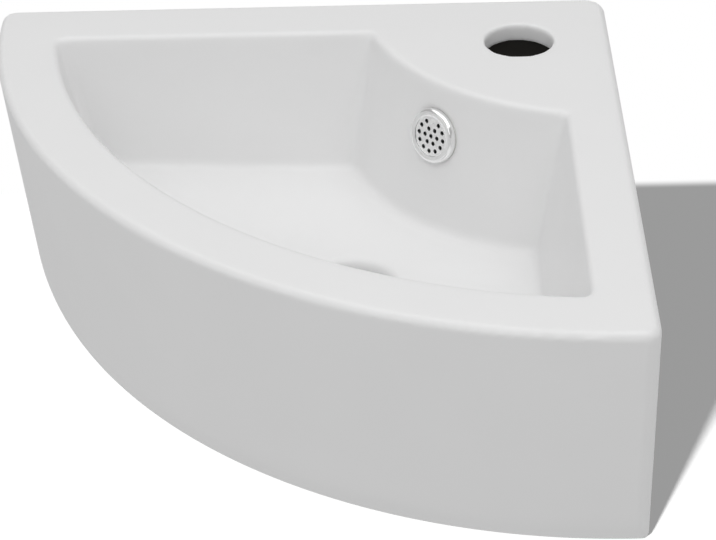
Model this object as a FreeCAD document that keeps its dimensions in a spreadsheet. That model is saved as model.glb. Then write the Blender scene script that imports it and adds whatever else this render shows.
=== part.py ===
import FreeCAD, Part
import math
import os
import Sketcher
from FreeCAD import Placement, Rotation, Vector

# Wall-hung corner basin, a quarter round of vitreous china with a tap ledge in its corner.
#
# Every sub-part is drawn in the basin's own corner frame: the origin is the foot of the vertical edge
# where the two back walls meet, X runs along back wall A, Y runs along back wall B, and Z is up from
# the foot. place_in_room() then turns each sub-part into the row's frame, whose origin is under the
# middle of the basin's box.

# Driving sizes, in millimetres and degrees.
SIZES = [
    ("leg_length", 320.0),              # length of each back wall
    ("basin_height", 125.0),            # foot to rim
    ("front_bulge", 3.0),               # how far the middle of the front stands past the leg length
    ("front_draft", 5.3),               # lean of the front face, narrower at the foot
    ("wall_corner_radius", 10.0),       # vertical edge between the back walls
    ("end_corner_radius", 8.0),         # vertical edges at the ends of the front
    ("rim_bevel", 2.5),                 # outer edge of the rim
    ("foot_bevel", 3.0),                # outer edge of the foot
    ("skirt_thickness", 11.0),          # skirt wall at the foot
    ("skirt_core_draft", 4.0),          # the skirt gets thicker upwards by this lean
    ("deck_thickness", 10.0),           # china over the hollow under the tap ledge
    ("rim_width_a", 34.0),              # flat rim along back wall A
    ("rim_width_b", 27.5),              # flat rim along back wall B
    ("rim_width_front", 31.0),          # flat rim along the front
    ("ledge_radius", 127.5),            # edge of the tap ledge, about the wall corner
    ("bowl_depth", 81.0),               # rim to the lowest point of the floor, at the waste
    ("bowl_draft", 11.0),               # lean of the bowl's walls
    ("floor_fall", 4.0),                # slope of the floor towards the waste
    ("bowl_corner_radius", 5.0),        # upright corners of the bowl
    ("floor_cove", 5.0),                # round between the bowl's walls and floor
    ("mouth_round", 3.0),               # inner edge of the rim
    ("shell_thickness", 10.0),          # china behind the bowl's walls and under its floor
    ("tap_hole_radius", 17.5),
    ("tap_hole_inset", 47.0),           # tap hole centre from each back wall
    ("tap_hole_bevel", 0.5),
    ("waste_from_b", 136.0),            # waste centre from back wall B
    ("waste_from_a", 153.5),            # waste centre from back wall A
    ("waste_hole_radius", 22.5),
    ("waste_lip_round", 5.0),           # round from the floor down into the waste hole
    ("waste_boss_wall", 12.0),          # china round the waste hole, under the floor
    ("waste_boss_lift", 4.0),           # the boss stops this far above the foot
    ("overflow_bearing", 46.0),         # direction of the overflow from the wall corner, from wall A
    ("overflow_drop", 28.0),            # overflow centre below the rim
    ("overflow_hole_radius", 12.0),
    ("overflow_seat_radius", 15.5),     # flat ground in the ledge wall for the overflow cover
    ("overflow_seat_depth", 1.2),
    ("duct_width", 30.0),
    ("duct_gap", 14.0),                 # the duct's other inside size
    ("duct_wall", 7.0),
    ("duct_roof", 3.0),                 # duct top below the bowl shell's lowest point
    ("duct_skin", 1.0),                 # duct front behind the ledge wall's own thickness
    ("fixing_hole_radius", 7.0),        # one wall bolt through each back wall
    ("fixing_hole_run", 160.0),         # bolt centre from the wall corner
    ("fixing_hole_height", 72.0),
    ("cover_clearance", 0.3),           # between the overflow cover's own pieces and the china
    ("gasket_thickness", 0.8),
    ("gasket_width", 1.9),
    ("ring_outer_radius", 14.4),
    ("ring_edge_height", 0.6),          # outer edge of the trim ring, above the gasket
    ("ring_crown_radius", 12.7),        # highest circle of the trim ring's bead
    ("ring_crown_height", 2.0),         # top of the bead, above the gasket
    ("ring_inner_fall", 0.5),           # how far the bead falls towards the grille
    ("ring_spigot_wall", 1.2),
    ("ring_spigot_length", 8.0),
    ("grille_radius", 11.0),
    ("grille_thickness", 1.6),
    ("grille_stand", 0.7),              # grille face above the ring's crown
    ("grille_bevel", 0.4),
    ("grille_hole_radius", 1.1),
    ("grille_pitch", 4.0),              # spacing of the two rings of holes
    ("grille_dimple_depth", 0.3),
    ("collar_wall", 0.9),
    ("collar_length", 10.0),            # collar tube inside the spigot
    ("collar_leg_width", 4.0),
    ("collar_leg_length", 6.0),         # legs beyond the tube
    ("collar_hook", 2.8),               # how far the legs' feet stand out
]

INNER_HOLES = 6                         # grille holes round the middle one
OUTER_HOLES = 12                        # grille places in the outer ring, one of them blind
BLIND_ANGLE = 180                       # the blind place is at the top, opposite the seat frame's X
COLLAR_LEGS = 4
LIP_STEPS = 3                           # cones of the waste hole's rounded lip
BEAD_STEPS_OUTSIDE = 3                  # cones of the trim ring's bead outside its crown
BEAD_STEPS_INSIDE = 2                   # and inside it

# The front is one arc through the ends of both walls and the bulged middle. These are the distance of
# its centre from each wall, and its radius at the rim.
FRONT_CENTRE = ("(((sizes.leg_length + sizes.front_bulge)^2 - sizes.leg_length^2)"
                " / (2 * sqrt(2) * (sizes.leg_length + sizes.front_bulge) - 2 * sizes.leg_length))")
FRONT_RADIUS = f"(sizes.leg_length + sizes.front_bulge - sqrt(2) * {FRONT_CENTRE})"
FOOT_RADIUS = f"({FRONT_RADIUS} - sizes.basin_height * tan(sizes.front_draft))"

doc = FreeCAD.newDocument("corner_basin")


def make_sheet():
    """Put the driving sizes in a spreadsheet, one alias each."""
    new_sheet = doc.addObject("Spreadsheet::Sheet", "sizes")
    for row, (alias, number) in enumerate(SIZES, start=1):
        new_sheet.set(f"A{row}", alias)
        new_sheet.set(f"B{row}", str(number))
        new_sheet.setAlias(f"B{row}", alias)
    doc.recompute()
    return new_sheet


sheet = make_sheet()


def value(expression):
    """Number that an expression on the sheet gives now."""
    return float(sheet.evalExpression(expression))


def size(alias):
    """Number in the sheet's cell with this alias."""
    return value("sizes." + alias)


def new_body(name):
    body = doc.addObject("PartDesign::Body", name)
    body.Label = name
    return body


def origin_plane(body, role):
    for feature in body.Origin.OriginFeatures:
        if feature.Role == role:
            return feature
    raise RuntimeError("no origin plane " + role)


def new_sketch(body, name, role="XY_Plane", offset=Placement()):
    """Sketch on one of the body's own origin planes, moved by an offset in that plane's frame."""
    sketch = body.newObject("Sketcher::SketchObject", name)
    sketch.AttachmentSupport = [(origin_plane(body, role), "")]
    sketch.MapMode = "FlatFace"
    sketch.AttachmentOffset = offset
    return sketch


def lift_sketch(sketch, expression):
    sketch.setExpression("AttachmentOffset.Base.z", expression)


def fix(sketch, kind, expression, *where):
    """Add a sized constraint whose size comes from an expression."""
    index = sketch.addConstraint(Sketcher.Constraint(kind, *where, value(expression)))
    sketch.setExpression(f"Constraints[{index}]", expression)


def fix_point(sketch, geometry, point, x_expression, y_expression):
    """Hold a sketch point at signed distances from the sketch's origin."""
    fix(sketch, "DistanceX", x_expression, -1, 1, geometry, point)
    fix(sketch, "DistanceY", y_expression, -1, 1, geometry, point)


def draw_circle(sketch, x_expression, y_expression, radius_expression):
    centre = Vector(value(x_expression), value(y_expression), 0)
    circle = Part.Circle(centre, Vector(0, 0, 1), value(radius_expression))
    index = sketch.addGeometry(circle, False)
    fix_point(sketch, index, 3, x_expression, y_expression)
    fix(sketch, "Radius", radius_expression, index)


def draw_polygon(sketch, corners):
    """Closed outline through corners given as pairs of expressions."""
    points = [Vector(value(x), value(y), 0) for x, y in corners]
    count = len(points)
    for index in range(count):
        line = Part.LineSegment(points[index], points[(index + 1) % count])
        sketch.addGeometry(line, False)
    for index in range(count):
        sketch.addConstraint(Sketcher.Constraint("Coincident", index, 2, (index + 1) % count, 1))
    for index, (x, y) in enumerate(corners):
        fix_point(sketch, index, 1, x, y)


def quarter_round(crown_radius, crown_height, reach, fall, steps):
    """Points of a lathe section down a quarter of an ellipse, from just below its crown."""
    return [(f"{crown_radius} + {reach} * sin({90 * step / steps})",
             f"{crown_height} - {fall} * (1 - cos({90 * step / steps}))")
            for step in range(1, steps + 1)]


def angle_at(point, centre):
    return math.atan2(point.y - centre.y, point.x - centre.x)


def draw_quarter(sketch, wall_inset, front_radius):
    """Outline with two straight sides parallel to the back walls and an arc for the front."""
    inset = value(wall_inset)
    middle = value(FRONT_CENTRE)
    radius = value(front_radius)
    reach = middle + math.sqrt(radius ** 2 - (inset - middle) ** 2)
    corner = Vector(inset, inset, 0)
    end_a = Vector(reach, inset, 0)
    end_b = Vector(inset, reach, 0)
    centre = Vector(middle, middle, 0)
    circle = Part.Circle(centre, Vector(0, 0, 1), radius)
    sketch.addGeometry(Part.LineSegment(corner, end_a), False)
    sketch.addGeometry(Part.ArcOfCircle(circle, angle_at(end_a, centre), angle_at(end_b, centre)), False)
    sketch.addGeometry(Part.LineSegment(end_b, corner), False)
    for first, second in ((0, 1), (1, 2), (2, 0)):
        sketch.addConstraint(Sketcher.Constraint("Coincident", first, 2, second, 1))
    sketch.addConstraint(Sketcher.Constraint("Horizontal", 0))
    sketch.addConstraint(Sketcher.Constraint("Vertical", 2))
    fix_point(sketch, 0, 1, wall_inset, wall_inset)
    fix_point(sketch, 1, 3, FRONT_CENTRE, FRONT_CENTRE)
    fix(sketch, "Radius", front_radius, 1)


def draw_bowl_outline(sketch, inset_a, inset_b, front_radius, ledge_radius):
    """Outline of the bowl: two straight walls, the front arc and the ledge arc about the corner."""
    row_a = value(inset_a)
    row_b = value(inset_b)
    middle = value(FRONT_CENTRE)
    radius = value(front_radius)
    ledge = value(ledge_radius)
    origin = Vector(0, 0, 0)
    centre = Vector(middle, middle, 0)
    ledge_a = Vector(math.sqrt(ledge ** 2 - row_a ** 2), row_a, 0)
    front_a = Vector(middle + math.sqrt(radius ** 2 - (row_a - middle) ** 2), row_a, 0)
    front_b = Vector(row_b, middle + math.sqrt(radius ** 2 - (row_b - middle) ** 2), 0)
    ledge_b = Vector(row_b, math.sqrt(ledge ** 2 - row_b ** 2), 0)
    front = Part.Circle(centre, Vector(0, 0, 1), radius)
    edge = Part.Circle(origin, Vector(0, 0, 1), ledge)
    sketch.addGeometry(Part.LineSegment(ledge_a, front_a), False)
    sketch.addGeometry(Part.ArcOfCircle(front, angle_at(front_a, centre), angle_at(front_b, centre)), False)
    sketch.addGeometry(Part.LineSegment(front_b, ledge_b), False)
    sketch.addGeometry(Part.ArcOfCircle(edge, angle_at(ledge_a, origin), angle_at(ledge_b, origin)), False)
    for first, first_end, second, second_end in ((0, 2, 1, 1), (1, 2, 2, 1), (2, 2, 3, 2), (3, 1, 0, 1)):
        sketch.addConstraint(Sketcher.Constraint("Coincident", first, first_end, second, second_end))
    sketch.addConstraint(Sketcher.Constraint("Horizontal", 0))
    sketch.addConstraint(Sketcher.Constraint("Vertical", 2))
    fix(sketch, "DistanceY", inset_a, -1, 1, 0, 1)
    fix(sketch, "DistanceX", inset_b, -1, 1, 2, 1)
    fix_point(sketch, 1, 3, FRONT_CENTRE, FRONT_CENTRE)
    fix(sketch, "Radius", front_radius, 1)
    sketch.addConstraint(Sketcher.Constraint("Coincident", 3, 3, -1, 1))
    fix(sketch, "Radius", ledge_radius, 3)


def extrude(body, kind, name, sketch, length, backwards=False, midplane=False):
    """Pad or pocket of a sketch, with its length from an expression."""
    feature = body.newObject("PartDesign::" + kind, name)
    feature.Profile = sketch
    feature.Type = "Length"
    feature.setExpression("Length", length)
    feature.Reversed = backwards
    feature.Midplane = midplane
    sketch.Visibility = False
    doc.recompute()
    return feature


def revolve(body, kind, name, sketch):
    """Full turn of a profile about its sketch's own upright axis."""
    feature = body.newObject("PartDesign::" + kind, name)
    feature.Profile = sketch
    feature.ReferenceAxis = (sketch, ["V_Axis"])
    feature.Angle = 360.0
    doc.recompute()
    return feature


def break_edges(body, kind, name, base, wanted, amount):
    """Fillet or chamfer the base feature's edges that the test picks, by an amount from an expression."""
    names = [f"Edge{i}" for i, edge in enumerate(base.Shape.Edges, start=1) if wanted(edge)]
    if not names:
        raise RuntimeError("no edges for " + name)
    feature = body.newObject("PartDesign::" + kind, name)
    feature.Base = (base, names)
    feature.setExpression("Radius" if kind == "Fillet" else "Size", amount)
    doc.recompute()
    return feature


def round_edges(body, name, base, wanted, radius):
    return break_edges(body, "Fillet", name, base, wanted, radius)


def lean_faces(body, name, base, wanted, angle, still_z, inwards_up):
    """Draft the base feature's side faces about its level face at still_z."""
    faces = base.Shape.Faces
    leaning = [f"Face{i}" for i, face in enumerate(faces, start=1) if wanted(face)]
    level = [f"Face{i}" for i, face in enumerate(faces, start=1) if is_level(face, still_z)]
    feature = body.newObject("PartDesign::Draft", name)
    feature.Base = (base, leaning)
    feature.NeutralPlane = (base, level[:1])
    feature.setExpression("Angle", angle)
    feature.Reversed = inwards_up
    doc.recompute()
    return feature


TOUCH = 0.01                            # how near counts as lying in a plane or on a line


def is_level(face, height):
    box = face.BoundBox
    return box.ZLength < TOUCH and abs(box.ZMin - height) < TOUCH


def is_side(face):
    """A face that stands up from foot to top, flat or round."""
    box = face.BoundBox
    return box.ZLength > TOUCH


def is_front(face):
    """The one curved upright face of a quarter outline."""
    return is_side(face) and not isinstance(face.Surface, Part.Plane)


def stands(edge):
    """An edge that climbs the full side of a body."""
    return edge.BoundBox.ZLength > size("shell_thickness")


def is_at(edge, height):
    """An edge that lies level at a height."""
    return edge.BoundBox.ZLength < TOUCH and abs(edge.BoundBox.ZMin - height) < TOUCH


def middle_of(edge):
    return edge.valueAt((edge.FirstParameter + edge.LastParameter) / 2)


def is_outer(edge, wall, front_radius):
    """An edge on the outside of the skirt: less than half a wall from the back walls or the front."""
    point = middle_of(edge)
    from_middle = math.hypot(point.x - value(FRONT_CENTRE), point.y - value(FRONT_CENTRE))
    return min(point.x, point.y) < wall / 2 or from_middle > front_radius - wall / 2


def check_change(before, after, grows, name):
    """Stop if a feature that should add or remove material did not."""
    change = after - before
    if (change > 0) != grows or abs(change) < 1.0:
        raise RuntimeError(f"{name} changed the volume by {change:.1f}")


def use_tool(body, name, tool, kind):
    """Join, cut or keep the common part of the body and another body drawn in the same frame."""
    before = body.Shape.Volume
    feature = body.newObject("PartDesign::Boolean", name)
    feature.setObjects([tool])
    feature.Type = kind
    doc.recompute()
    check_change(before, body.Shape.Volume, kind == "Fuse", name)
    return feature


def make_skirt(body):
    """The outer block: a quarter round whose front leans in towards the foot."""
    outline = new_sketch(body, "rim_outline")
    lift_sketch(outline, "sizes.basin_height")
    draw_quarter(outline, "0", FRONT_RADIUS)
    block = extrude(body, "Pad", "skirt_block", outline, "sizes.basin_height", backwards=True)
    leaned = lean_faces(body, "skirt_lean", block, is_front, "sizes.front_draft", size("basin_height"), True)
    wall_edge = round_edges(
        body, "wall_corner", leaned,
        lambda edge: stands(edge) and edge.BoundBox.XMax < TOUCH and edge.BoundBox.YMax < TOUCH,
        "sizes.wall_corner_radius")
    half_leg = size("leg_length") / 2
    ends = round_edges(
        body, "end_corners", wall_edge,
        lambda edge: stands(edge) and max(edge.BoundBox.XMax, edge.BoundBox.YMax) > half_leg,
        "sizes.end_corner_radius")
    rim = size("basin_height")
    last = break_edges(body, "Chamfer", "rim_edge", ends, lambda edge: is_at(edge, rim), "sizes.rim_bevel")
    return break_edges(body, "Chamfer", "foot_edge", last, lambda edge: is_at(edge, 0.0), "sizes.foot_bevel")


def make_hollow():
    """The core that leaves the underside open, drawn so that it pulls out downwards."""
    body = new_body("underside_core")
    outline = new_sketch(body, "foot_opening")
    draw_quarter(outline, "sizes.skirt_thickness", f"{FOOT_RADIUS} - sizes.skirt_thickness")
    block = extrude(body, "Pad", "core_block", outline, "sizes.basin_height - sizes.deck_thickness")
    lean_faces(body, "core_lean", block, is_side, "sizes.skirt_core_draft", 0.0, False)
    return body


def waste_sketch(body, name):
    """Upright sketch whose own upright axis is the waste's."""
    sketch = new_sketch(body, name, "XZ_Plane")
    sketch.setExpression("AttachmentOffset.Base.x", "sizes.waste_from_b")
    sketch.setExpression("AttachmentOffset.Base.z", "-sizes.waste_from_a")
    return sketch


def make_bowl_core(name, grow):
    """Square-edged form of the bowl's hollow, or of its shell when grown by the china's thickness."""
    body = new_body(name)
    outline = new_sketch(body, name + "_outline")
    lift_sketch(outline, "sizes.basin_height")
    draw_bowl_outline(outline, f"sizes.rim_width_a - {grow}", f"sizes.rim_width_b - {grow}",
                      f"{FRONT_RADIUS} - sizes.rim_width_front + {grow}", f"sizes.ledge_radius - {grow}")
    block = extrude(body, "Pad", name + "_block", outline, f"sizes.bowl_depth + {grow}", backwards=True)
    leaned = lean_faces(body, name + "_lean", block, is_side, "sizes.bowl_draft", size("basin_height"), True)
    fall = waste_sketch(body, name + "_fall")
    lowest = f"sizes.basin_height - sizes.bowl_depth - {grow}"
    draw_polygon(fall, [("0", lowest),
                        ("sizes.leg_length", lowest),
                        ("sizes.leg_length", f"{lowest} + sizes.leg_length * tan(sizes.floor_fall)")])
    floor = revolve(body, "Groove", name + "_floor", fall)
    check_change(leaned.Shape.Volume, floor.Shape.Volume, False, name + "_floor")
    return body


def round_bowl(body):
    """Round the bowl's upright corners, and cove its walls into its floor."""
    corners = round_edges(body, "bowl_corners", body.Tip, stands, "sizes.bowl_corner_radius")
    half_way = size("basin_height") - size("bowl_depth") / 2
    round_edges(body, "bowl_coves", corners, lambda edge: edge.BoundBox.ZMax < half_way, "sizes.floor_cove")
    return body


def add_boss(body):
    """The thick round under the floor that the waste fitting clamps."""
    circle = new_sketch(body, "boss_outline")
    lift_sketch(circle, "sizes.waste_boss_lift")
    draw_circle(circle, "sizes.waste_from_b", "sizes.waste_from_a",
                "sizes.waste_hole_radius + sizes.waste_boss_wall")
    extrude(body, "Pad", "waste_boss", circle,
            "sizes.basin_height - sizes.bowl_depth - sizes.waste_boss_lift")


def draw_duct(sketch, wall):
    """Side view of the overflow duct: down the back of the ledge wall, then under the floor to the waste.

    The sketch's plane stands on the overflow's bearing. The wall is 0 for the duct's own hollow and
    the duct's wall for its casing.
    """
    lean = "tan(sizes.bowl_draft)"
    skin = "sizes.shell_thickness + sizes.duct_skin"
    top = f"(sizes.basin_height - sizes.deck_thickness + {wall})"
    roof = f"(sizes.basin_height - sizes.bowl_depth - sizes.shell_thickness - sizes.duct_roof + {wall})"
    floor = (f"(sizes.basin_height - sizes.bowl_depth - sizes.shell_thickness - sizes.duct_roof"
             f" - sizes.duct_gap - {wall})")
    waste = ("(sizes.waste_from_b * cos(sizes.overflow_bearing)"
             " + sizes.waste_from_a * sin(sizes.overflow_bearing))")

    def front(height):
        return f"sizes.ledge_radius - {skin} + (sizes.basin_height - {height}) * {lean} + {wall}"

    def back(height):
        return f"{front(height)} - sizes.duct_gap - 2 * {wall}"

    draw_polygon(sketch, [(front(top), top), (front(roof), roof), (waste, roof),
                          (waste, floor), (back(floor), floor), (back(top), top)])


def duct_sketch(body, name):
    sketch = new_sketch(body, name, "XZ_Plane", Placement(Vector(0, 0, 0), Rotation(Vector(0, 1, 0), 1.0)))
    sketch.setExpression("AttachmentOffset.Rotation.Angle", "sizes.overflow_bearing")
    return sketch


def add_duct_casing(body):
    casing = duct_sketch(body, "duct_casing_outline")
    draw_duct(casing, "sizes.duct_wall")
    extrude(body, "Pad", "duct_casing", casing, "sizes.duct_width + 2 * sizes.duct_wall", midplane=True)


def cut_duct(body):
    hollow = duct_sketch(body, "duct_outline")
    draw_duct(hollow, "0")
    extrude(body, "Pocket", "duct", hollow, "sizes.duct_width", midplane=True)


def seat_frame():
    """Frame of the overflow seat: origin at its middle, X down the wall, Z square out of the wall."""
    bearing = size("overflow_bearing")
    lean = size("bowl_draft")
    out = Rotation(Vector(0, 0, 1), bearing) * Rotation(Vector(0, 1, 0), 90.0 - lean)
    reach = size("ledge_radius") + size("overflow_drop") * math.tan(math.radians(lean))
    face = Vector(reach * math.cos(math.radians(bearing)),
                  reach * math.sin(math.radians(bearing)),
                  size("basin_height") - size("overflow_drop"))
    return Placement(face - out.multVec(Vector(0, 0, size("overflow_seat_depth"))), out)


def cut_overflow(body):
    """Flat seat ground in the ledge wall, and the hole from it into the duct."""
    seat = new_sketch(body, "overflow_seat_outline", offset=seat_frame())
    draw_circle(seat, "0", "0", "sizes.overflow_seat_radius")
    extrude(body, "Pocket", "overflow_seat", seat, "2 * sizes.overflow_seat_depth", backwards=True)
    hole = new_sketch(body, "overflow_hole_outline", offset=seat_frame())
    draw_circle(hole, "0", "0", "sizes.overflow_hole_radius")
    extrude(body, "Pocket", "overflow_hole", hole, "sizes.shell_thickness + sizes.duct_gap / 2")


def cut_waste(body):
    """The hole through the floor and the boss, with a quarter-round lip where the floor turns down."""
    hole = "sizes.waste_hole_radius"
    edge = f"({hole} + sizes.waste_lip_round)"
    top = f"(sizes.basin_height - sizes.bowl_depth + {edge} * tan(sizes.floor_fall))"
    lip = quarter_round(edge, top, "-sizes.waste_lip_round", "sizes.waste_lip_round", LIP_STEPS)
    section = waste_sketch(body, "waste_section")
    draw_polygon(section, [("0", "0"), (hole, "0"), *reversed(lip), (edge, top), ("0", top)])
    before = body.Shape.Volume
    revolve(body, "Groove", "waste_hole", section)
    check_change(before, body.Shape.Volume, False, "waste_hole")


def cut_tap_hole(body):
    hole = new_sketch(body, "tap_hole_outline")
    lift_sketch(hole, "sizes.basin_height")
    draw_circle(hole, "sizes.tap_hole_inset", "sizes.tap_hole_inset", "sizes.tap_hole_radius")
    extrude(body, "Pocket", "tap_hole", hole, "2 * sizes.deck_thickness")


def cut_fixing_holes(body):
    """One bolt hole through each back wall, into the hollow behind the bowl."""
    through = ("sizes.skirt_thickness + sizes.fixing_hole_height * tan(sizes.skirt_core_draft)"
               " + sizes.fixing_hole_radius")
    for name, role, backwards in (("fixing_hole_a", "XZ_Plane", False), ("fixing_hole_b", "YZ_Plane", True)):
        hole = new_sketch(body, name + "_outline", role)
        draw_circle(hole, "sizes.fixing_hole_run", "sizes.fixing_hole_height", "sizes.fixing_hole_radius")
        extrude(body, "Pocket", name, hole, through, backwards=backwards)


def is_round_hole(edge, from_b, from_a, radius):
    """An edge on a plumb round hole with its centre at these distances from the back walls."""
    return not edge.Degenerated and all(
        abs(math.hypot(point.x - from_b, point.y - from_a) - radius) < TOUCH
        for point in edge.discretize(4))


def finish_edges(body):
    """Round the bowl's mouth and bevel the tap hole."""
    rim = size("basin_height")
    rim_radius = value(FRONT_RADIUS)
    rim_wall = min(size("rim_width_a"), size("rim_width_b"), size("rim_width_front"))
    tap = (size("tap_hole_inset"), size("tap_hole_inset"), size("tap_hole_radius"))
    last = round_edges(body, "mouth_edge", body.Tip,
                       lambda edge: is_at(edge, rim) and not is_outer(edge, rim_wall, rim_radius)
                       and not is_round_hole(edge, *tap),
                       "sizes.mouth_round")
    break_edges(body, "Chamfer", "tap_hole_edge", last,
                lambda edge: is_at(edge, rim) and is_round_hole(edge, *tap),
                "sizes.tap_hole_bevel")


def make_basin():
    """The china casting, with the bowl's shell, waste boss and overflow duct in one piece."""
    body = new_body("basin_body")
    make_skirt(body)
    use_tool(body, "open_underside", make_hollow(), "Cut")
    use_tool(body, "add_bowl_shell", make_bowl_core("bowl_shell", "sizes.shell_thickness"), "Fuse")
    add_boss(body)
    add_duct_casing(body)
    use_tool(body, "open_bowl", round_bowl(make_bowl_core("bowl_space", "0")), "Cut")
    cut_duct(body)
    cut_overflow(body)
    cut_waste(body)
    cut_tap_hole(body)
    cut_fixing_holes(body)
    finish_edges(body)
    return body


def place_in_room(frame=Placement()):
    """Placement in the row's frame of something drawn in the corner frame or in a frame within it."""
    half = size("leg_length") / 2
    return Placement(Vector(half, half, 0), Rotation(Vector(0, 0, 1), 180)).multiply(frame)


def lathe(name, corners):
    """Body turned about its own Z from a half section given as pairs of radius and height."""
    body = new_body(name)
    section = new_sketch(body, name + "_section", "XZ_Plane")
    draw_polygon(section, corners)
    revolve(body, "Revolution", name + "_turned", section)
    return body


GASKET_BORE = "(sizes.overflow_hole_radius + sizes.cover_clearance)"
SPIGOT_RADIUS = "(sizes.overflow_hole_radius - 2 * sizes.cover_clearance)"
SPIGOT_BORE = f"({SPIGOT_RADIUS} - sizes.ring_spigot_wall)"
CROWN = "(sizes.gasket_thickness + sizes.ring_crown_height)"
GRILLE_FACE = f"({CROWN} + sizes.grille_stand)"
GRILLE_SEAT = f"({GRILLE_FACE} - sizes.grille_thickness)"


def make_gasket():
    """Soft flat ring between the seat and the trim ring."""
    outside = f"{GASKET_BORE} + sizes.gasket_width"
    return lathe("overflow_gasket", [(GASKET_BORE, "0"), (outside, "0"),
                                     (outside, "sizes.gasket_thickness"),
                                     (GASKET_BORE, "sizes.gasket_thickness")])


def make_trim_ring():
    """Chromed bezel: a bead round the grille, and a spigot that hangs in the china's hole."""
    grille_bore = "(sizes.grille_radius + sizes.cover_clearance)"
    crown = "sizes.ring_crown_radius"
    outer_side = quarter_round(crown, CROWN, f"(sizes.ring_outer_radius - {crown})",
                               "(sizes.ring_crown_height - sizes.ring_edge_height)", BEAD_STEPS_OUTSIDE)
    inner_side = quarter_round(crown, CROWN, f"({grille_bore} - {crown})", "sizes.ring_inner_fall",
                               BEAD_STEPS_INSIDE)
    return lathe("overflow_trim_ring", [
        (SPIGOT_BORE, "-sizes.ring_spigot_length"), (SPIGOT_RADIUS, "-sizes.ring_spigot_length"),
        (SPIGOT_RADIUS, "sizes.gasket_thickness"), ("sizes.ring_outer_radius", "sizes.gasket_thickness"),
        *reversed(outer_side), (crown, CROWN), *inner_side,
        (grille_bore, GRILLE_SEAT), (SPIGOT_BORE, GRILLE_SEAT)])


def drill_ring(body, name, first_angle, spacing, count, radius):
    """Pocket one grille hole and repeat it about the disc's middle."""
    hole = new_sketch(body, name + "_outline")
    lift_sketch(hole, GRILLE_FACE)
    x = f"{radius} * cos({first_angle})"
    y = f"{radius} * sin({first_angle})"
    draw_circle(hole, x, y, "sizes.grille_hole_radius")
    pocket = extrude(body, "Pocket", name, hole, "sizes.grille_thickness")
    pattern = body.newObject("PartDesign::PolarPattern", name + "_ring")
    pattern.Originals = [pocket]
    pattern.Axis = (hole, ["N_Axis"])
    pattern.Angle = spacing * (count - 1)
    pattern.Occurrences = count
    body.Tip = pattern
    doc.recompute()
    return pattern


def make_grille():
    """Perforated disc: a middle hole, a ring of six, and an outer ring with one blind place at the top."""
    body = lathe("overflow_grille", [("0", GRILLE_SEAT), ("sizes.grille_radius", GRILLE_SEAT),
                                     ("sizes.grille_radius", f"{GRILLE_FACE} - sizes.grille_bevel"),
                                     ("sizes.grille_radius - sizes.grille_bevel", GRILLE_FACE),
                                     ("0", GRILLE_FACE)])
    middle = new_sketch(body, "middle_hole_outline")
    lift_sketch(middle, GRILLE_FACE)
    draw_circle(middle, "0", "0", "sizes.grille_hole_radius")
    extrude(body, "Pocket", "middle_hole", middle, "sizes.grille_thickness")
    drill_ring(body, "inner_hole", 90, 360 / INNER_HOLES, INNER_HOLES, "sizes.grille_pitch")
    step = 360 / OUTER_HOLES
    drill_ring(body, "outer_hole", BLIND_ANGLE + step, step, OUTER_HOLES - 1, "2 * sizes.grille_pitch")
    dimple = new_sketch(body, "blind_place_outline")
    lift_sketch(dimple, GRILLE_FACE)
    draw_circle(dimple, "-2 * sizes.grille_pitch", "0", "sizes.grille_hole_radius")
    extrude(body, "Pocket", "blind_place", dimple, "sizes.grille_dimple_depth")
    return body


def make_collar():
    """Sprung collar in the spigot, with legs whose feet catch behind the china wall."""
    outside = f"({SPIGOT_BORE} - sizes.cover_clearance)"
    inside = f"({outside} - sizes.collar_wall)"
    top = f"({GRILLE_SEAT} - sizes.cover_clearance)"
    end = f"({top} - sizes.collar_length)"
    toe = f"({end} - sizes.collar_leg_length)"
    foot = f"({outside} + sizes.collar_hook)"
    body = lathe("overflow_snap_collar", [(inside, end), (outside, end), (outside, top), (inside, top)])
    side = new_sketch(body, "leg_side", "XZ_Plane")
    draw_polygon(side, [(inside, toe), (outside, toe), (foot, f"{toe} + sizes.collar_hook"),
                        (foot, f"{toe} + sizes.collar_hook + sizes.collar_wall"),
                        (outside, f"{toe} + sizes.collar_hook + sizes.collar_wall"),
                        (outside, f"{end} + sizes.collar_wall"), (inside, f"{end} + sizes.collar_wall")])
    leg = extrude(body, "Pad", "leg", side, "sizes.collar_leg_width", midplane=True)
    legs = body.newObject("PartDesign::PolarPattern", "legs")
    legs.Originals = [leg]
    legs.Axis = (side, ["V_Axis"])
    legs.Angle = 360.0
    legs.Occurrences = COLLAR_LEGS
    body.Tip = legs
    doc.recompute()
    return body


def check_document():
    for item in doc.Objects:
        if "Invalid" in item.State or "Error" in item.State:
            raise RuntimeError(f"{item.Label} failed: {item.State}")


def write_parts(bodies):
    os.makedirs("parts", exist_ok=True)
    for body in bodies:
        shape = body.Shape
        if shape.isNull() or not shape.isValid():
            raise RuntimeError(body.Label + " has no valid shape")
        print(f"{body.Label}: {len(shape.Solids)} solid, {shape.Volume / 1000:.1f} cm3")
    for body in bodies:
        body.Shape.exportStep(f"parts/{body.Label}.step")


basin_body = make_basin()
basin_body.Placement = place_in_room()
cover_pieces = [make_gasket(), make_trim_ring(), make_grille(), make_collar()]
for piece in cover_pieces:
    piece.Placement = place_in_room(seat_frame())
doc.recompute()
check_document()
write_parts([basin_body] + cover_pieces)
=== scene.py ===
"""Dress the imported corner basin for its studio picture.

The basin is one white vitreous china casting with a small chromed overflow cover in its ledge wall.
Everything is in metres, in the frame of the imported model: the basin's back walls are at +X and +Y and
its curved front faces -X and -Y.
"""

import logging
import math
from dataclasses import dataclass, field
from enum import Enum

import bmesh
import bpy
from mathutils import Matrix, Vector
from mathutils.bvhtree import BVHTree


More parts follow.
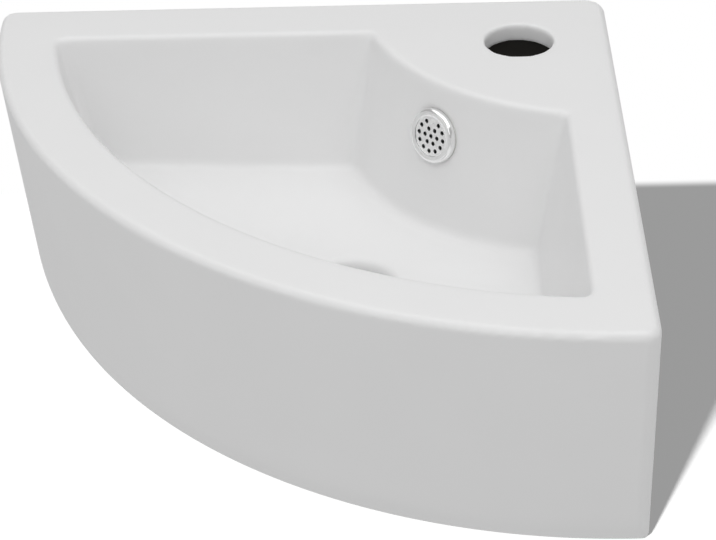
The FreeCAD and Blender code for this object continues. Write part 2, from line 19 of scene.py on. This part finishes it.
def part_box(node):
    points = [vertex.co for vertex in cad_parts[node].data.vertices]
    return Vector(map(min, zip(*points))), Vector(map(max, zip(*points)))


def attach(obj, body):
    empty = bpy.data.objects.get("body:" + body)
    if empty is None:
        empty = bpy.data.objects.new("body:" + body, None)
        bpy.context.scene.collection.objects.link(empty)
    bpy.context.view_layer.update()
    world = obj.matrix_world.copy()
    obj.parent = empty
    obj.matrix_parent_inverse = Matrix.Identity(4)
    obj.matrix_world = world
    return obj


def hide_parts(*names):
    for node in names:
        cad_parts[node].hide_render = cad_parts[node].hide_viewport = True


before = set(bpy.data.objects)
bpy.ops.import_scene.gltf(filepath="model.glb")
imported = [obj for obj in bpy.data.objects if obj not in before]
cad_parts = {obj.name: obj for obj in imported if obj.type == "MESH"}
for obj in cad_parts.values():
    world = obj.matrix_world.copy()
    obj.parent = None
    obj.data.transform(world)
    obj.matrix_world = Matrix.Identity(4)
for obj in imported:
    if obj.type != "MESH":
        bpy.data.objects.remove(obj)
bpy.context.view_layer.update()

MM = 0.001                      # metres in a millimetre
SMOOTHING = 0.5                 # share of the way to its neighbours that a smoothing step moves a point

log = logging.getLogger("corner_basin")


class Light(Enum):
    """Kinds of lamp used in the studio."""

    AREA = "AREA"
    SUN = "SUN"


class Skin(Enum):
    """The casting's finishes, by the number of their material slot."""

    GLAZED = 0
    GROUND_LAND = 1
    # the hollow's finish is painted shade: dark, where the real clay is pale and only shaded
    PAINTED_SHADE_HOLLOW = 2


def linear(hex_colour: str) -> tuple[float, float, float, float]:
    """Turn a written sRGB colour into the linear one that shaders take.

    Args:
        hex_colour: Six hex digits, with or without a leading hash.

    Returns:
        Linear red, green, blue and an alpha of 1.
    """
    digits = hex_colour.lstrip("#")
    channels = [int(digits[i:i + 2], 16) / 255 for i in (0, 2, 4)]
    turned = [c / 12.92 if c <= 0.04045 else ((c + 0.055) / 1.055) ** 2.4 for c in channels]
    return (*turned, 1.0)


def add_node(tree: bpy.types.NodeTree, kind: str, settings: dict | None = None,
             inputs: dict | None = None) -> bpy.types.Node:
    """Add one node with its settings, and with its inputs set or linked.

    Args:
        tree: The node tree to add to.
        kind: The node's type name.
        settings: Properties of the node itself.
        inputs: Socket name or number to a value, or to the output socket that feeds it.

    Returns:
        The new node.
    """
    node = tree.nodes.new(kind)
    for name, setting in (settings or {}).items():
        setattr(node, name, setting)
    for name, feed in (inputs or {}).items():
        if isinstance(feed, bpy.types.NodeSocket):
            tree.links.new(feed, node.inputs[name])
        else:
            node.inputs[name].default_value = feed
    return node


def new_material(name: str) -> tuple[bpy.types.Material, bpy.types.NodeTree]:
    """Make an empty node material.

    Args:
        name: The material's name.

    Returns:
        The material and its node tree.
    """
    material = bpy.data.materials.new(name)
    material.use_nodes = True
    material.node_tree.nodes.clear()
    return material, material.node_tree


def finish_with(tree: bpy.types.NodeTree, surface: bpy.types.NodeSocket) -> None:
    """Send a shader to the material's output."""
    add_node(tree, "ShaderNodeOutputMaterial", inputs={"Surface": surface})


@dataclass(frozen=True)
class GlazedChina:
    """Vitreous china: a slip-cast body fired under a glossy opaque white glaze.

    The glaze pulls flat over large areas, so it mirrors lamps softly, and it is a touch whiter and
    glossier where it ran thicker.
    """

    glaze_colour: str = "#F0F0F0"
    thick_glaze_colour: str = "#F3F3F3"
    roughness: float = 0.38
    roughness_swing: float = 0.05
    ior: float = 1.50
    run_size: float = 38.0      # spacing of thicker and thinner glaze, mm
    peel_size: float = 2.6      # orange peel, drawn as coarse as the picture can show, mm
    peel_height: float = 0.004  # mm

    def build(self) -> bpy.types.Material:
        """Make the material.

        Returns:
            The material.
        """
        material, tree = new_material("vitreous_china_glazed")
        place = add_node(tree, "ShaderNodeTexCoord").outputs["Object"]
        runs = add_node(tree, "ShaderNodeTexNoise", inputs={
            "Vector": place, "Scale": 1 / (self.run_size * MM), "Detail": 2.0,
            "Roughness": 0.4}).outputs["Fac"]
        glaze = add_node(tree, "ShaderNodeMix", {"data_type": "RGBA"}, {
            0: runs, 6: linear(self.glaze_colour), 7: linear(self.thick_glaze_colour)}).outputs[2]
        gloss = add_node(tree, "ShaderNodeMapRange", inputs={
            "Value": runs, "To Min": self.roughness + self.roughness_swing,
            "To Max": self.roughness - self.roughness_swing}).outputs[0]
        peel = add_node(tree, "ShaderNodeTexNoise", inputs={
            "Vector": place, "Scale": 1 / (self.peel_size * MM), "Detail": 1.0}).outputs["Fac"]
        bump = add_node(tree, "ShaderNodeBump", inputs={
            "Strength": 1.0, "Distance": self.peel_height * MM, "Height": peel}).outputs[0]
        shader = add_node(tree, "ShaderNodeBsdfPrincipled", inputs={
            "Base Color": glaze, "Roughness": gloss, "Normal": bump, "IOR": self.ior})
        finish_with(tree, shader.outputs[0])
        return material


@dataclass(frozen=True)
class FiredBiscuit:
    """Bare fired clay, cast and sponged: a dull, finely grained skin with darker, dirtier patches."""

    name: str
    colour: str
    patch_colour: str
    roughness: float = 0.85
    patch_size: float = 22.0    # mm
    grain_size: float = 0.9     # mm
    grain_height: float = 0.02  # mm

    def build(self) -> bpy.types.Material:
        """Make the material.

        Returns:
            The material.
        """
        material, tree = new_material(self.name)
        place = add_node(tree, "ShaderNodeTexCoord").outputs["Object"]
        patches = add_node(tree, "ShaderNodeTexNoise", inputs={
            "Vector": place, "Scale": 1 / (self.patch_size * MM), "Detail": 5.0}).outputs["Fac"]
        colour = add_node(tree, "ShaderNodeMix", {"data_type": "RGBA"}, {
            0: patches, 6: linear(self.colour), 7: linear(self.patch_colour)}).outputs[2]
        grain = add_node(tree, "ShaderNodeTexNoise", inputs={
            "Vector": place, "Scale": 1 / (self.grain_size * MM), "Detail": 3.0}).outputs["Fac"]
        bump = add_node(tree, "ShaderNodeBump", inputs={
            "Distance": self.grain_height * MM, "Height": grain}).outputs[0]
        shader = add_node(tree, "ShaderNodeBsdfPrincipled", inputs={
            "Base Color": colour, "Roughness": self.roughness, "Normal": bump})
        finish_with(tree, shader.outputs[0])
        return material


@dataclass(frozen=True)
class ChromePlate:
    """Bright chrome plate on moulded plastic: a white mirror with a faint haze from handling."""

    colour: str = "#FAFAFA"
    roughness: float = 0.09
    haze: float = 0.07
    haze_size: float = 6.0      # mm
    polish_size: float = 1.2    # low swell that polishing leaves, mm
    polish_height: float = 0.006

    def build(self) -> bpy.types.Material:
        """Make the material.

        Returns:
            The material.
        """
        material, tree = new_material("chrome_plate_polished")
        place = add_node(tree, "ShaderNodeTexCoord").outputs["Object"]
        smears = add_node(tree, "ShaderNodeTexNoise", inputs={
            "Vector": place, "Scale": 1 / (self.haze_size * MM), "Detail": 3.0}).outputs["Fac"]
        rough = add_node(tree, "ShaderNodeMapRange", inputs={
            "Value": smears, "To Min": self.roughness, "To Max": self.roughness + self.haze}).outputs[0]
        swell = add_node(tree, "ShaderNodeTexNoise", inputs={
            "Vector": place, "Scale": 1 / (self.polish_size * MM), "Detail": 1.0}).outputs["Fac"]
        bump = add_node(tree, "ShaderNodeBump", inputs={
            "Distance": self.polish_height * MM, "Height": swell}).outputs[0]
        shader = add_node(tree, "ShaderNodeBsdfPrincipled", inputs={
            "Base Color": linear(self.colour), "Metallic": 1.0, "Roughness": rough, "Normal": bump})
        finish_with(tree, shader.outputs[0])
        return material


@dataclass(frozen=True)
class MouldedPlastic:
    """Acetal or rubber as it leaves a mould: dull, with the fine grain of a spark-eroded tool."""

    name: str
    colour: str
    roughness: float
    grain_size: float           # mm
    grain_height: float         # mm
    roughness_swing: float = 0.06

    def build(self) -> bpy.types.Material:
        """Make the material.

        Returns:
            The material.
        """
        material, tree = new_material(self.name)
        place = add_node(tree, "ShaderNodeTexCoord").outputs["Object"]
        grain = add_node(tree, "ShaderNodeTexNoise", inputs={
            "Vector": place, "Scale": 1 / (self.grain_size * MM), "Detail": 2.0}).outputs["Fac"]
        rough = add_node(tree, "ShaderNodeMapRange", inputs={
            "Value": grain, "To Min": self.roughness - self.roughness_swing,
            "To Max": self.roughness + self.roughness_swing}).outputs[0]
        bump = add_node(tree, "ShaderNodeBump", inputs={
            "Distance": self.grain_height * MM, "Height": grain}).outputs[0]
        shader = add_node(tree, "ShaderNodeBsdfPrincipled", inputs={
            "Base Color": linear(self.colour), "Roughness": rough, "Normal": bump})
        finish_with(tree, shader.outputs[0])
        return material


def dress(piece: bpy.types.Object, material: bpy.types.Material) -> None:
    """Give a piece one finish, in its own slots where it has them.

    Args:
        piece: The piece to dress.
        material: Its finish.
    """
    if not piece.material_slots:
        piece.data.materials.append(material)
    for slot in piece.material_slots:
        slot.material = material


def new_piece(name: str, mesh: bpy.types.Mesh) -> bpy.types.Object:
    """Put a mesh in the scene as a piece of its own, shaded smooth.

    Args:
        name: The piece's name.
        mesh: Its mesh.

    Returns:
        The piece.
    """
    piece = bpy.data.objects.new(name, mesh)
    bpy.context.scene.collection.objects.link(piece)
    mesh.polygons.foreach_set("use_smooth", [True] * len(mesh.polygons))
    return piece


def seat_piece(piece: bpy.types.Object, node: str) -> None:
    """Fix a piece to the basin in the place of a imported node.

    Args:
        piece: The visible piece.
        node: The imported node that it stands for.
    """
    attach(piece, "root")
    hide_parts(node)
    log.info("%s: %d faces", piece.name, len(piece.data.polygons))


def new_lamp(name: str, kind: Light, power: float) -> bpy.types.Object:
    """Make one lamp.

    Args:
        name: The lamp's name.
        kind: What sort of lamp it is.
        power: Watts, or watts a square metre for a sun.

    Returns:
        The lamp's object.
    """
    data = bpy.data.lights.new(name, kind.value)
    data.energy = power
    lamp = bpy.data.objects.new(name, data)
    bpy.context.scene.collection.objects.link(lamp)
    log.info("lamp %s", name)
    return lamp


def even_mesh(mesh: bpy.types.Mesh, cell: float, soften_steps: int = 0) -> bpy.types.Mesh:
    """Cover a solid with faces of one size, and soften its edges.

    Args:
        mesh: The solid's mesh.
        cell: Size of the new faces, in metres.
        soften_steps: How many times the new mesh is smoothed.

    Returns:
        A new mesh without materials.
    """
    mould = bpy.data.objects.new("mould", mesh)
    bpy.context.scene.collection.objects.link(mould)
    remesh = mould.modifiers.new("even_skin", "REMESH")
    remesh.mode = "VOXEL"
    remesh.voxel_size = cell
    soften = mould.modifiers.new("soft_edges", "SMOOTH")
    soften.factor = SMOOTHING
    soften.iterations = soften_steps
    graph = bpy.context.evaluated_depsgraph_get()
    even = bpy.data.meshes.new_from_object(mould.evaluated_get(graph))
    bpy.data.objects.remove(mould)
    even.materials.clear()
    return even


@dataclass(frozen=True)
class FrontFace:
    """The round front: part of a cone that narrows towards the foot and is rounded under there."""

    leg: float = 320 * MM       # length of each back wall
    bulge: float = 3 * MM       # how far the middle of the front stands past the leg length
    height: float = 125 * MM
    lean: float = math.radians(5.3)
    foot_reach: float = 9.5 * MM    # the foot's round reaches this far in
    foot_rise: float = 18.5 * MM    # and this far up
    grip: float = 0.5 * MM      # the skin is trued where it lies this close to the front

    def axis(self) -> float:
        """Find the cone's axis, which stands on the diagonal from the wall corner.

        Returns:
            The axis's X, and its Y, which is the same.
        """
        middle = self.leg + self.bulge
        from_walls = (middle ** 2 - self.leg ** 2) / (2 * math.sqrt(2) * middle - 2 * self.leg)
        return self.leg / 2 - from_walls

    def radius(self, height: float) -> float:
        """Find how far the face is from the cone's axis.

        Args:
            height: Height above the foot, in metres.

        Returns:
            The distance at that height.
        """
        rim = math.hypot(self.leg / 2 - self.axis(), self.leg / 2 + self.axis())
        low = max(0.0, 1 - height / self.foot_rise)
        under = self.foot_reach * (1 - math.sqrt(max(0.0, 1 - low ** 2)))
        return rim - (self.height - height) * math.tan(self.lean) - under

    def true(self, mesh: bpy.types.Mesh, trim: bool) -> None:
        """Bring a mesh of the casting onto the front face.

        Args:
            mesh: The mesh to change.
            trim: Whether what stands out past the face is pushed in however far it stands out.
        """
        axis = self.axis()
        for point in mesh.vertices:
            out = Vector((point.co.x - axis, point.co.y - axis))
            past = out.length - self.radius(point.co.z)
            if past < -self.grip:
                continue
            pull = 1.0 if trim and past > 0 else max(0.0, 1 - (past / self.grip) ** 2)
            out *= 1 - pull * past / out.length
            point.co.x = axis + out.x
            point.co.y = axis + out.y


@dataclass
class BasinBody:
    """The china casting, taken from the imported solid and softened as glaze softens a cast."""

    node: str = "basin_body"
    cell: float = 1.3 * MM      # size of the mesh's faces
    soften_steps: int = 3
    land_height: float = 0.6 * MM   # the foot's ground land lies below this height
    land_slope: float = -0.3    # and its faces point down by more than this
    sight: float = 0.6          # how far a face looks for china in front of it, m
    front: FrontFace = field(default_factory=FrontFace)
    glaze: GlazedChina = field(default_factory=GlazedChina)
    land: FiredBiscuit = FiredBiscuit("biscuit_foot_ground", "#DAD5C9", "#CFC9BB")
    # Real clay is far paler. The hollow's dark colour is painted shade, so that the tap hole looks nearly
    # black, as in the photo.
    hollow: FiredBiscuit = FiredBiscuit("biscuit_hollow_painted_shade", "#4A4742", "#3A3834")

    def build(self) -> bpy.types.Object:
        """Make the casting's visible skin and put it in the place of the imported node.

        Returns:
            The skin.
        """
        cast = even_mesh(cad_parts[self.node].data.copy(), self.cell)
        self.front.true(cast, trim=True)
        glazed = even_mesh(cast, self.cell, self.soften_steps)
        self.front.true(glazed, trim=False)
        skin = new_piece("china_casting", glazed)
        for finish in (self.glaze, self.land, self.hollow):
            skin.data.materials.append(finish.build())
        self.leave_bare(skin.data)
        seat_piece(skin, self.node)
        return skin

    def leave_bare(self, mesh: bpy.types.Mesh) -> None:
        """Give the foot's ground land and the hollow under the bowl their unglazed finishes; the hollow's
        finish is painted dark as painted shade.

        Glaze is poured from above and outside, so a face is bare if it has china over it and on all
        four sides.

        Args:
            mesh: The skin's mesh, with its three slots filled.
        """
        casting = bmesh.new()
        casting.from_mesh(mesh)
        china = BVHTree.FromBMesh(casting)
        casting.free()
        ways = [Vector(way) for way in ((0, 0, 1), (1, 0, 0), (-1, 0, 0), (0, 1, 0), (0, -1, 0))]
        finishes = []
        for face in mesh.polygons:
            start = face.center + face.normal * self.cell
            shut_in = all(china.ray_cast(start, way, self.sight)[0] is not None for way in ways)
            on_land = face.normal.z < self.land_slope and face.center.z < self.land_height
            # faces shut in by china get the hollow finish, painted dark as painted shade
            skin = Skin.GROUND_LAND if on_land else Skin.PAINTED_SHADE_HOLLOW if shut_in else Skin.GLAZED
            finishes.append(skin.value)
        mesh.polygons.foreach_set("material_index", finishes)
        log.info("glazed faces: %d", finishes.count(Skin.GLAZED.value))


@dataclass
class OverflowCover:
    """Chromed trim ring and grille with the soft gasket and sprung collar behind them.

    Sizes are in mm, and heights are above the cover's seat in the ledge wall.
    """

    bearing: float = 46.0       # direction of the cover from the wall corner, degrees from wall A
    lean: float = 11.0          # the ledge wall leans back by this, degrees
    grille_middle: float = 2.5  # height of the middle of the grille's box
    ring_steps: int = 96
    bead_steps: int = 8
    spigot_radius: float = 11.4
    spigot_bore: float = 10.2
    spigot_end: float = -8.0
    ring_radius: float = 14.4
    grille_bore: float = 11.3
    gasket_top: float = 0.8
    edge_height: float = 1.4    # top of the ring's plain outer edge
    crown_radius: float = 12.7
    crown_height: float = 4.2
    lip_radius: float = 10.4    # the bead ends in a lip over the grille's edge
    lip_height: float = 3.95
    lip_underside: float = 3.8
    grille_seat: float = 1.9
    grille_cell: float = 0.17
    grille_soften: int = 2
    chrome: ChromePlate = field(default_factory=ChromePlate)
    acetal: MouldedPlastic = MouldedPlastic("acetal_moulded", "#8F9193", 0.45, 0.5, 0.01)
    rubber: MouldedPlastic = MouldedPlastic("silicone_rubber_moulded", "#D6D6D2", 0.5, 0.4, 0.008)

    def build(self) -> None:
        """Make the ring and the grille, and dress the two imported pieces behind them."""
        chrome = self.chrome.build()
        ring = new_piece("chromed_trim_ring", self.ring_mesh())
        dress(ring, chrome)
        seat_piece(ring, "overflow_trim_ring")
        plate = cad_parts["overflow_grille"].data.copy()
        grille = new_piece("chromed_grille", even_mesh(plate, self.grille_cell * MM, self.grille_soften))
        dress(grille, chrome)
        seat_piece(grille, "overflow_grille")
        dress(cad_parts["overflow_snap_collar"], self.acetal.build())
        dress(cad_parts["overflow_gasket"], self.rubber.build())
        log.info("overflow_snap_collar and overflow_gasket dressed")

    def seat(self) -> Matrix:
        """Find the cover's seat in the ledge wall.

        Returns:
            The seat's frame, whose Z points out of the wall.
        """
        low, high = (Vector(corner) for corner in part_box("overflow_grille"))
        turn = (Matrix.Rotation(math.radians(180 + self.bearing), 4, "Z")
                @ Matrix.Rotation(math.radians(90 - self.lean), 4, "Y"))
        out = (turn @ Vector((0, 0, 1, 0))).to_3d()
        middle = (low + high) / 2
        return Matrix.Translation(middle - out * self.grille_middle * MM) @ turn

    def bead(self, reach: float, fall: float) -> list[tuple[float, float]]:
        """Give points down one side of the ring's bead, along a quarter of an ellipse.

        Args:
            reach: How far the side runs from the crown, in mm, negative inwards.
            fall: How far it drops.

        Returns:
            Pairs of radius and height, from just below the crown.
        """
        angles = [math.pi / 2 * step / self.bead_steps for step in range(1, self.bead_steps + 1)]
        return [(self.crown_radius + reach * math.sin(angle),
                 self.crown_height - fall * (1 - math.cos(angle))) for angle in angles]

    def ring_mesh(self) -> bpy.types.Mesh:
        """Turn the trim ring's section about its axis.

        Returns:
            The ring's mesh, in place.
        """
        outside = self.bead(self.ring_radius - self.crown_radius, self.crown_height - self.edge_height)
        inside = self.bead(self.lip_radius - self.crown_radius, self.crown_height - self.lip_height)
        section = [(self.spigot_bore, self.spigot_end), (self.spigot_radius, self.spigot_end),
                   (self.spigot_radius, self.gasket_top), (self.ring_radius, self.gasket_top),
                   *reversed(outside), (self.crown_radius, self.crown_height), *inside,
                   (self.lip_radius, self.lip_underside), (self.grille_bore, self.lip_underside),
                   (self.grille_bore, self.grille_seat), (self.spigot_bore, self.grille_seat)]
        turned = bmesh.new()
        rounds = []
        for step in range(self.ring_steps):
            turn = Matrix.Rotation(2 * math.pi * step / self.ring_steps, 3, "Z") * MM
            rounds.append([turned.verts.new(turn @ Vector((radius, 0, height)))
                           for radius, height in section])
        for here, there in zip(rounds, rounds[1:] + rounds[:1]):
            for index in range(len(section)):
                after = (index + 1) % len(section)
                turned.faces.new((here[index], here[after], there[after], there[index]))
        bmesh.ops.recalc_face_normals(turned, faces=turned.faces)
        turned.transform(self.seat())
        mesh = bpy.data.meshes.new("chromed_trim_ring")
        turned.to_mesh(mesh)
        turned.free()
        return mesh


@dataclass
class PhotoCamera:
    """Camera that looks down over the basin's front, as the reference view does."""

    eye: tuple[float, float, float] = (0.04854, -1.01259, 0.70662)  # m
    forward: tuple[float, float, float] = (-0.01668, 0.84202, -0.53918)
    roll: float = -1.77         # degrees
    lens: float = 122.7         # mm
    sensor: float = 36.0        # mm
    nearest: float = 0.01       # m

    def build(self) -> None:
        """Make the camera and use it for the scene."""
        camera = bpy.data.objects.new("photo_camera", bpy.data.cameras.new("photo_camera"))
        bpy.context.scene.collection.objects.link(camera)
        camera.data.lens = self.lens
        camera.data.sensor_width = self.sensor
        camera.data.clip_start = self.nearest
        turn = Vector(self.forward).to_track_quat("-Z", "Y").to_matrix().to_4x4()
        camera.matrix_world = (Matrix.Translation(self.eye) @ turn
                               @ Matrix.Rotation(math.radians(self.roll), 4, "Z"))
        bpy.context.scene.camera = camera
        log.info("camera at %s", self.eye)


@dataclass(frozen=True)
class FloorPaint:
    """Matt white floor, white where its lamp falls, an even grey in shadow, and painted plain white at the
    back, which paints out the lamp's shadow there.

    Only the camera sees it so. To the basin it is one even field of light.
    """

    shade_colour: str = "#929292"
    paint_colour: str = "#404040"
    bounce_level: float = 0.60
    painted_white_from: float = 0.1748  # the floor is painted plain white beyond this Y, which hides the lamp's shadow there, m
    painted_white_blend: float = 0.010  # m over which the painted white fades in

    def build(self) -> bpy.types.Material:
        """Make the material.

        Returns:
            The material.
        """
        material, tree = new_material("floor_painted_matt")
        place = add_node(tree, "ShaderNodeTexCoord").outputs["Object"]
        back = add_node(tree, "ShaderNodeSeparateXYZ", inputs={0: place}).outputs["Y"]
        # beyond this Y the camera sees painted white light in place of the lamp's shadow
        plain = add_node(tree, "ShaderNodeMapRange", {"interpolation_type": "SMOOTHSTEP"}, {
            "Value": back, "From Min": self.painted_white_from - self.painted_white_blend / 2,
            "From Max": self.painted_white_from + self.painted_white_blend / 2}).outputs[0]
        paint = add_node(tree, "ShaderNodeBsdfPrincipled", inputs={
            "Base Color": linear(self.paint_colour), "Roughness": 1.0, "Specular IOR Level": 0.0,
            "Emission Color": linear(self.shade_colour), "Emission Strength": 1.0}).outputs[0]
        white = add_node(tree, "ShaderNodeEmission", inputs={"Color": linear("#FFFFFF")}).outputs[0]
        shown = add_node(tree, "ShaderNodeMixShader", inputs={0: plain, 1: paint, 2: white}).outputs[0]
        bounce = add_node(tree, "ShaderNodeEmission", inputs={
            "Color": linear("#FFFFFF"), "Strength": self.bounce_level}).outputs[0]
        seen = add_node(tree, "ShaderNodeLightPath").outputs["Is Camera Ray"]
        finish_with(tree, add_node(tree, "ShaderNodeMixShader", inputs={
            0: seen, 1: bounce, 2: shown}).outputs[0])
        return material


@dataclass(frozen=True)
class Softbox:
    """A square area lamp."""

    name: str
    power: float                # W
    size: float                 # m
    place: tuple[float, float, float]
    aim: tuple[float, float, float] = (0.0, 0.0, 0.06)

    def build(self) -> None:
        """Hang the lamp."""
        lamp = new_lamp(self.name, Light.AREA, self.power)
        lamp.data.shape = "SQUARE"
        lamp.data.size = self.size
        lamp.location = self.place
        lamp.rotation_euler = (Vector(self.aim) - lamp.location).to_track_quat("-Z", "Y").to_euler()


@dataclass
class Studio:
    """White floor, even soft light, and one low lamp that only draws the shadow on the floor."""

    floor_size: float = 12.0    # m
    paint: FloorPaint = field(default_factory=FloorPaint)
    sky_level: float = 0.42
    softboxes: tuple[Softbox, ...] = (
        Softbox("overhead_softbox", 9.7, 2.0, (-0.2, 0.1, 1.6)),
        Softbox("right_softbox", 4.6, 1.2, (0.5, -0.5, 1.5)),
        Softbox("front_softbox", 2.4, 1.0, (-0.3, -1.6, 1.1)),
        Softbox("left_softbox", 1.2, 1.0, (-1.4, -0.8, 0.7)),
    )
    shadow_bearing: float = 22.5    # direction in which the shadow falls, degrees from +Y towards +X
    shadow_height: float = 26.0     # lamp above the horizon, degrees
    shadow_softness: float = 3.5    # degrees
    shadow_power: float = 100.0     # W a square metre

    def build(self) -> None:
        """Make the floor, the world and the lamps."""
        bpy.context.scene.view_settings.view_transform = "Standard"
        self.world()
        for softbox in self.softboxes:
            softbox.build()
        self.shadow_lamp(self.floor())

    def floor(self) -> bpy.types.Object:
        """Make the floor.

        Returns:
            The floor.
        """
        half = self.floor_size / 2
        mesh = bpy.data.meshes.new("studio_floor")
        corners = [(-half, -half, 0), (half, -half, 0), (half, half, 0), (-half, half, 0)]
        mesh.from_pydata(corners, [], [(0, 1, 2, 3)])
        floor = bpy.data.objects.new("studio_floor", mesh)
        bpy.context.scene.collection.objects.link(floor)
        dress(floor, self.paint.build())
        log.info("floor %.0f m wide", self.floor_size)
        return floor

    def world(self) -> None:
        """Fill the room with even light, and show it white to the camera."""
        world = bpy.data.worlds.new("studio_room")
        bpy.context.scene.world = world
        world.use_nodes = True
        tree = world.node_tree
        tree.nodes.clear()
        seen = add_node(tree, "ShaderNodeLightPath").outputs["Is Camera Ray"]
        level = add_node(tree, "ShaderNodeMix", {"data_type": "FLOAT"}, {
            0: seen, 2: self.sky_level, 3: 1.0}).outputs[0]
        room = add_node(tree, "ShaderNodeBackground", inputs={
            "Color": linear("#FFFFFF"), "Strength": level})
        add_node(tree, "ShaderNodeOutputWorld", inputs={"Surface": room.outputs[0]})

    def shadow_lamp(self, floor: bpy.types.Object) -> None:
        """Add the lamp that lights the floor alone, so that the basin's shadow falls to the right.

        Args:
            floor: The floor.
        """
        lamp = new_lamp("floor_lamp", Light.SUN, self.shadow_power)
        lamp.data.angle = math.radians(self.shadow_softness)
        bearing = math.radians(self.shadow_bearing)
        height = math.radians(self.shadow_height)
        aim = Vector((math.sin(bearing) * math.cos(height), math.cos(bearing) * math.cos(height),
                      -math.sin(height)))
        lamp.rotation_euler = aim.to_track_quat("-Z", "Y").to_euler()
        lit = bpy.data.collections.new("lit_by_floor_lamp")
        lit.objects.link(floor)
        lamp.light_linking.receiver_collection = lit


def main() -> None:
    """Build the camera, the basin, its overflow cover and the studio."""
    logging.basicConfig(level=logging.INFO, format="%(name)s: %(message)s")
    PhotoCamera().build()
    BasinBody().build()
    OverflowCover().build()
    Studio().build()


if __name__ == "__main__":
    main()
